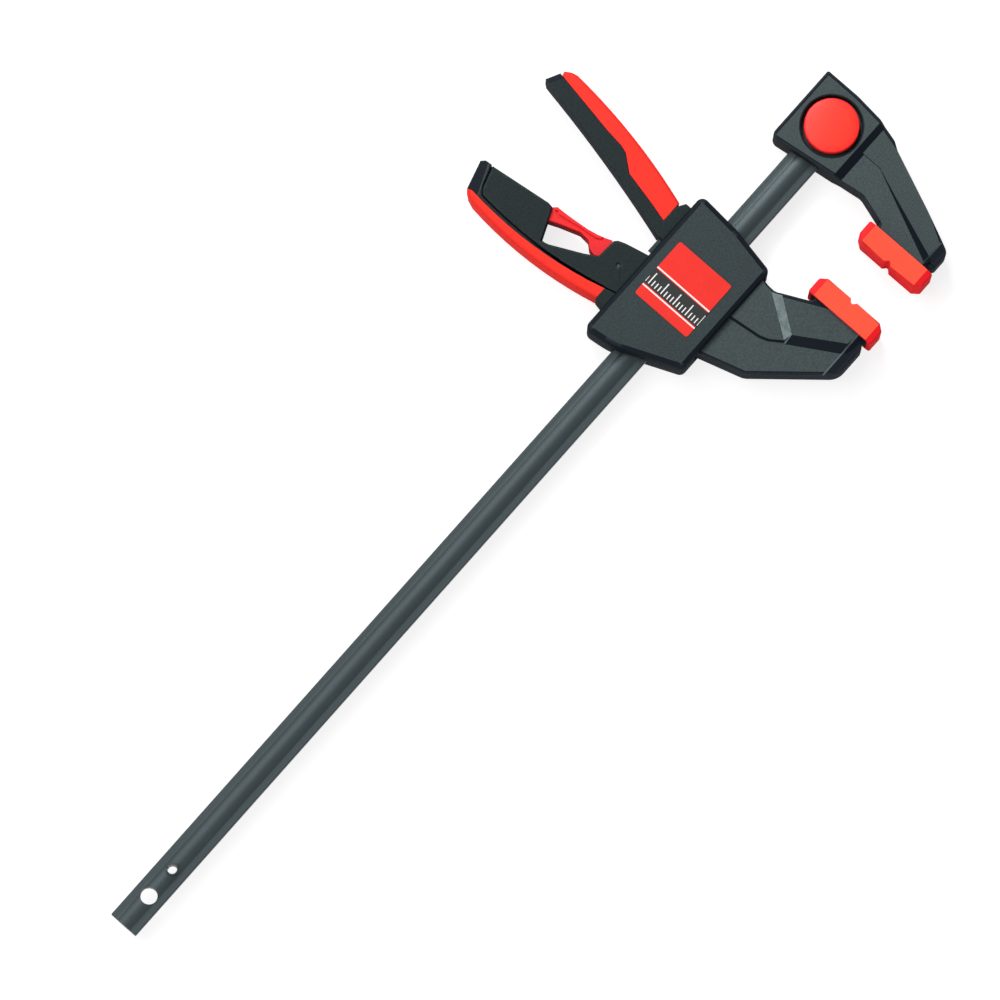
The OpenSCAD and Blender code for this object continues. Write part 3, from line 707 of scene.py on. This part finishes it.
class CLAMP_OT_rail(bpy.types.Operator):
    """Rail with its chamfered ends and holes, and the rolled stop pin"""

    bl_idname = "clamp.rail"
    bl_label = "Rail"

    def execute(self, context):
        bm = copy_of("rail")
        round_off(bm, creases(bm, 60.0), sizes().rail_round, 2)
        settle(bm, "rail_dressed", "rail", "dark_steel", "rail", relief=35.0)
        bm = copy_of("stop_pin")
        round_off(bm, creases(bm, 60.0), sizes().rail_round / 2, 2)
        settle(bm, "stop_pin_dressed", "rail", "plain_steel", "stop_pin", finish="dark_steel")
        return {"FINISHED"}


def round_tip(bm, node):
    """Rounds an arm's front and back towards its lower end, and gives where that starts."""
    line = Vector((0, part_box(node)[0].y + sizes().tip_length, 0))
    cut_across(bm, line - DOWN * sizes().highlight_line, DOWN)

    def fall(part):
        return sizes().tip_drop * (0.4 * part + 0.6 * (1.0 - math.sqrt(1.0 - part * part)))

    fall_away(bm, line, DOWN, sizes().tip_length, fall, 6)
    return line


class CLAMP_OT_head(bpy.types.Operator):
    """Fixed jaw's head and arm"""

    bl_idname = "clamp.head"
    bl_label = "Fixed jaw"

    def execute(self, context):
        bm = copy_of("fixed_jaw", (BUTTON_AT, ALONG))
        round_off(bm, creases(bm, 50.0, rims(THIN_RIM)), sizes().arm_round)
        tip = round_tip(bm, "fixed_jaw")
        # painted shade: the falling lower end and a flat border inside the rims are painted dark as
        # slopes
        painted_dark = faces_past(bm, tip, DOWN) + borders(bm, sizes().arm_border)
        settle(
            bm, "fixed_jaw_dressed", "rail", "black_plastic", "fixed_jaw",
            finish="black_arm", painted_dark=painted_dark,
        )
        return {"FINISHED"}


class CLAMP_OT_button(bpy.types.Operator):
    """Release button, shaded as one smooth cap"""

    bl_idname = "clamp.button"
    bl_label = "Release button"

    def execute(self, context):
        bm = copy_of("release_button")
        settle(
            bm, "release_button_dressed", "button", "red_plastic", "release_button",
            angle=60.0, relief=60.0,
        )
        return {"FINISHED"}


class CLAMP_OT_pads(bpy.types.Operator):
    """Both soft jaw pads, with sloped ends"""

    bl_idname = "clamp.pads"
    bl_label = "Jaw pads"

    def execute(self, context):
        for node, body in (("fixed_pad", "rail"), ("moving_pad", "carriage")):
            low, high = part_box(node)
            bm = copy_of(node)
            notch = (low.y + high.y) / 2
            rim = rims(PAD_RIM)
            found = creases(
                bm, 40.0, lambda middle, e: abs(middle.y - notch) > NOTCH_HALF and rim(middle, e)
            )
            round_off(bm, found, sizes().pad_round)
            run = sizes().pad_slope
            ends = [(low + Vector((0, run, 0)), DOWN), (high - Vector((0, run, 0)), -DOWN)]
            for point, outward in ends:
                fall_away(bm, point, outward, run, lambda part: part * sizes().pad_drop)
            # painted shade: the sloped ends are painted a deeper red
            painted_dark = [f for point, outward in ends for f in faces_past(bm, point, outward)]
            settle(bm, node + "_dressed", body, "soft_red", node, finish="pad_red", painted_dark=painted_dark)
        return {"FINISHED"}


class CLAMP_OT_carriage(bpy.types.Operator):
    """Moving jaw's core and arm"""

    bl_idname = "clamp.carriage"
    bl_label = "Moving jaw"

    def execute(self, context):
        bm = copy_of("moving_jaw")
        below = COVER_LOW - ARM_CLEAR
        rim = rims(RIM)
        found = creases(bm, 50.0, lambda middle, e: middle.y < below and rim(middle, e))
        round_off(bm, found, sizes().arm_round)
        tip = round_tip(bm, "moving_jaw")
        # painted shade: the falling lower end and a flat border inside the rims are painted dark as
        # slopes
        painted_dark = faces_past(bm, tip, DOWN) + borders(bm, sizes().arm_border)
        # the faces that rise towards the rail and back, tilted between the flats and the slopes,
        # painted light as a lit stripe
        ramp = [
            f for f in bm.faces
            if f.normal.x < -0.15 and f.normal.y > 0.1 and 0.8 < abs(f.normal.z) < 0.98
        ]
        # painted highlight: the ramp stripe fully, a line above the lower end by half
        settle(
            bm, "moving_jaw_dressed", "carriage", "black_plastic", "moving_jaw",
            finish="black_arm", painted_dark=painted_dark, painted_lit=ramp,
            line=faces_past(bm, tip - DOWN * sizes().highlight_line, DOWN, sizes().highlight_line),
        )
        return {"FINISHED"}


class CLAMP_OT_covers(bpy.types.Operator):
    """Front and rear covers, with a fine chamfer along the seam between them"""

    bl_idname = "clamp.covers"
    bl_label = "Covers"

    def execute(self, context):
        for node in ("front_cover", "rear_cover"):
            bm = copy_of(node)
            seam = creases(bm, 60.0, lambda middle, e: abs(middle.z) < NEAR)
            round_off(bm, seam, sizes().seam, 1)
            settle(bm, node + "_dressed", "carriage", "black_plastic", node, relief=5.0)
        return {"FINISHED"}


def soft_strip(node, body, outward):
    """A soft strip, well rounded where the hand holds it."""
    bm = copy_of(node)
    round_off(bm, creases(bm, 50.0, rims(RIM, outward)), sizes().grip_round, 4)
    settle(bm, node + "_dressed", body, "soft_red", node)


class CLAMP_OT_grip(bpy.types.Operator):
    """Fixed grip: frame, cheeks and soft strip"""

    bl_idname = "clamp.grip"
    bl_label = "Fixed grip"

    def execute(self, context):
        rim = rims(RIM)
        for node in ("grip_frame", "grip_cheek_front", "grip_cheek_rear"):
            bm = copy_of(node)
            found = creases(bm, 50.0, lambda middle, e: middle.y > GRIP_FOOT and rim(middle, e))
            cheek = node != "grip_frame"
            round_off(bm, found, sizes().cheek_round if cheek else sizes().seam * 1.5, wear_and_highlight=0.3)
            if not cheek:
                fall_away(bm, *CAP, CAP_RUN, lambda part: part * sizes().cap_drop)
                cut_across(bm, CAP[0] + CAP[1] * sizes().highlight_line, CAP[1])
            # painted shade on the grip's falling cap, painted highlight on a line above it
            settle(
                bm, node + "_dressed", "carriage", "black_plastic", node,
                finish="black_handle",
                painted_dark=faces_past(bm, *CAP), line=faces_past(bm, *CAP, sizes().highlight_line),
            )
        soft_strip("grip_strip", "carriage", -ALONG)
        return {"FINISHED"}


class CLAMP_OT_lever(bpy.types.Operator):
    """Pump lever and its soft strip"""

    bl_idname = "clamp.lever"
    bl_label = "Pump lever"

    def execute(self, context):
        bm = copy_of("pump_lever")
        round_off(bm, creases(bm, 50.0, rims(RIM)), sizes().handle_round, wear_and_highlight=0.25)
        fall_away(bm, *LEVER_TIP, LEVER_TIP_RUN, lambda part: part * sizes().cap_drop)
        # painted shade: the lever's falling tip is painted dark as a slope
        settle(
            bm, "pump_lever_dressed", "lever", "black_plastic", "pump_lever",
            finish="black_handle", painted_dark=faces_past(bm, *LEVER_TIP),
        )
        soft_strip("lever_strip", "lever", ALONG)
        return {"FINISHED"}


class CLAMP_OT_trigger(bpy.types.Operator):
    """Release trigger and the pin that it swings on, in dark steel: browned, and darkened as
    painted shade where it sits sunk in the cheek
    """

    bl_idname = "clamp.trigger"
    bl_label = "Release trigger"

    def execute(self, context):
        bm = copy_of("release_trigger")
        round_off(bm, creases(bm, 50.0, rims(THIN_RIM)), sizes().seam, 2)
        settle(
            bm, "release_trigger_dressed", "trigger", "red_plastic", "release_trigger",
            finish="red_trigger",
        )
        # painted shade: the pin is darkened in part for its sunken end
        bm = copy_of("trigger_pin")
        settle(
            bm, "trigger_pin_dressed", "carriage", "plain_steel", "trigger_pin",
            finish="dark_steel",
        )
        return {"FINISHED"}


class CLAMP_OT_label(bpy.types.Operator):
    """Label plate"""

    bl_idname = "clamp.label"
    bl_label = "Label"

    def execute(self, context):
        bm = copy_of("label_plate")
        settle(bm, "label_plate_dressed", "carriage", "label_red", "label_plate")
        return {"FINISHED"}


class CLAMP_OT_springs(bpy.types.Operator):
    """Springs, each dressed with a mesh of its own"""

    bl_idname = "clamp.springs"
    bl_label = "Springs"

    def execute(self, context):
        for node, body, joint, axis in (
            ("button_spring", "rail", "button_press", Vector((0, 0, 1))),
            ("drive_spring", "carriage", "drive_shift", ALONG),
        ):
            piece = settle(copy_of(node), node + "_dressed", body, "plain_steel", node)
            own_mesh(piece)
        return {"FINISHED"}


class CLAMP_OT_inside(bpy.types.Operator):
    """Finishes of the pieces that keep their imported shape"""

    bl_idname = "clamp.inside"
    bl_label = "Pieces inside"

    def execute(self, context):
        refinish(*[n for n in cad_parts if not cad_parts[n].hide_render])
        return {"FINISHED"}


# ---------------------------------------------------------------- stage


def seen_rays(n):
    """1 for the rays of the camera, of reflections and through glass, 0 for the light's."""
    path = n.tree.nodes.new("ShaderNodeLightPath")
    seen = Value(n, path.outputs["Is Camera Ray"])
    for ray in ("Is Glossy Ray", "Is Transmission Ray"):
        seen = n.highest(seen, Value(n, path.outputs[ray]))
    return seen


def white_floor():
    """A pale floor that the camera, metal and glass see as white, with soft shadows on it."""
    n = Nodes("floor_white")
    seen = seen_rays(n)
    under = n.add("NewGeometry", out="Backfacing")
    n.finish(Base_Color=(0.70, 0.70, 0.70), Roughness=0.9)
    lit = n.add("BsdfDiffuse", {}, {"Color": (0.32, 0.32, 0.32)})
    glow = n.add("Emission", {}, {"Color": (1.0, 1.0, 1.0), "Strength": 0.80})
    bright = n.add("AddShader", {}, {0: lit, 1: glow})
    plain = Value(n, n.shader.outputs[0])
    shown = n.add("MixShader", {}, {0: seen, 1: plain, 2: bright})
    clear = n.add("BsdfTransparent", {}, {"Color": (1.0, 1.0, 1.0)})
    n.fill(
        n.tree.nodes["Material Output"].inputs["Surface"],
        n.add("MixShader", {}, {0: under, 1: shown, 2: clear}),
    )
    return n.owner


class CLAMP_OT_stage(bpy.types.Operator):
    """Floor, lamps and camera"""

    bl_idname = "clamp.stage"
    bl_label = "Stage"

    def execute(self, context):
        context.scene.view_settings.view_transform = "Standard"
        self.camera(context)
        self.floor(context)
        self.lamps(context)
        return {"FINISHED"}

    def camera(self, context):
        lens = bpy.data.cameras.new("camera")
        lens.lens = 380.65
        lens.sensor_width = 36.0
        lens.clip_end = 50.0
        camera = bpy.data.objects.new("camera", lens)
        context.scene.collection.objects.link(camera)
        target = Vector((0.32636, 0.00073, 0.0))
        place = Vector((-0.3563, -0.5452, 6.4571))
        away = (place - target).normalized()
        # the picture's right, before it is made square to the view
        right = Vector((0.6615, -0.7499, 0.0))
        right = (right - away * right.dot(away)).normalized()
        up = away.cross(right)
        camera.matrix_world = Matrix((right, up, away)).transposed().to_4x4()
        camera.location = place
        context.scene.camera = camera

    def floor(self, context):
        bm = bmesh.new()
        bmesh.ops.create_grid(bm, x_segments=1, y_segments=1, size=8.0)
        bmesh.ops.translate(bm, vec=(0.3, 0.0, COVER_BACK), verts=bm.verts)
        mesh = bpy.data.meshes.new("floor")
        bm.to_mesh(mesh)
        bm.free()
        floor = bpy.data.objects.new("floor", mesh)
        context.scene.collection.objects.link(floor)
        mesh.materials.append(white_floor())

    def lamps(self, context):
        context.scene.world = bpy.data.worlds.new("studio")
        n = Nodes("studio", context.scene.world)
        strength = WORLD_LIGHT + seen_rays(n) * (1.0 - WORLD_LIGHT)
        n.finish(Color=(1.0, 1.0, 1.0), Strength=strength)
        for name, place, size, power in (
            ("top", (-0.1, 1.4, 3.0), 2.2, 60.0),
            ("key", (0.90, 0.60, 0.75), 0.40, 8.0),
            ("fill", (-0.90, -0.50, 0.60), 0.60, 7.0),
        ):
            lamp = bpy.data.lights.new(name, "AREA")
            lamp.energy = power
            lamp.size = size
            holder = bpy.data.objects.new(name, lamp)
            context.scene.collection.objects.link(holder)
            holder.location = place
            aim = Vector((0.4, 0.0, 0.0)) - holder.location
            holder.rotation_mode = "QUATERNION"
            holder.rotation_quaternion = aim.to_track_quat("-Z", "Y")


class CLAMP_PT_panel(bpy.types.Panel):
    """Panel that lists the sizes, colours and pieces"""

    bl_idname = "CLAMP_PT_panel"
    bl_label = "Bar Clamp"
    bl_space_type = "VIEW_3D"
    bl_region_type = "UI"
    bl_category = "Clamp"

    def draw(self, context):
        for group in (context.scene.clamp_sizes, context.scene.clamp_colours):
            for name in group.__annotations__:
                self.layout.prop(group, name)
        for operator in OPERATORS:
            self.layout.operator(operator.bl_idname)


OPERATORS = (
    CLAMP_OT_rail, CLAMP_OT_head, CLAMP_OT_button, CLAMP_OT_pads, CLAMP_OT_carriage,
    CLAMP_OT_covers, CLAMP_OT_label, CLAMP_OT_grip, CLAMP_OT_trigger, CLAMP_OT_lever,
    CLAMP_OT_springs, CLAMP_OT_inside, CLAMP_OT_stage,
)
CLASSES = (ClampSizes, ClampColours, *OPERATORS, CLAMP_PT_panel)


def register():
    for cls in CLASSES:
        bpy.utils.register_class(cls)
    bpy.types.Scene.clamp_sizes = bpy.props.PointerProperty(type=ClampSizes)
    bpy.types.Scene.clamp_colours = bpy.props.PointerProperty(type=ClampColours)


def unregister():
    del bpy.types.Scene.clamp_colours
    del bpy.types.Scene.clamp_sizes
    for cls in reversed(CLASSES):
        bpy.utils.unregister_class(cls)


def main():
    register()
    for operator in OPERATORS:
        group, name = operator.bl_idname.split(".")
        getattr(getattr(bpy.ops, group), name)()


if __name__ == "__main__":
    main()
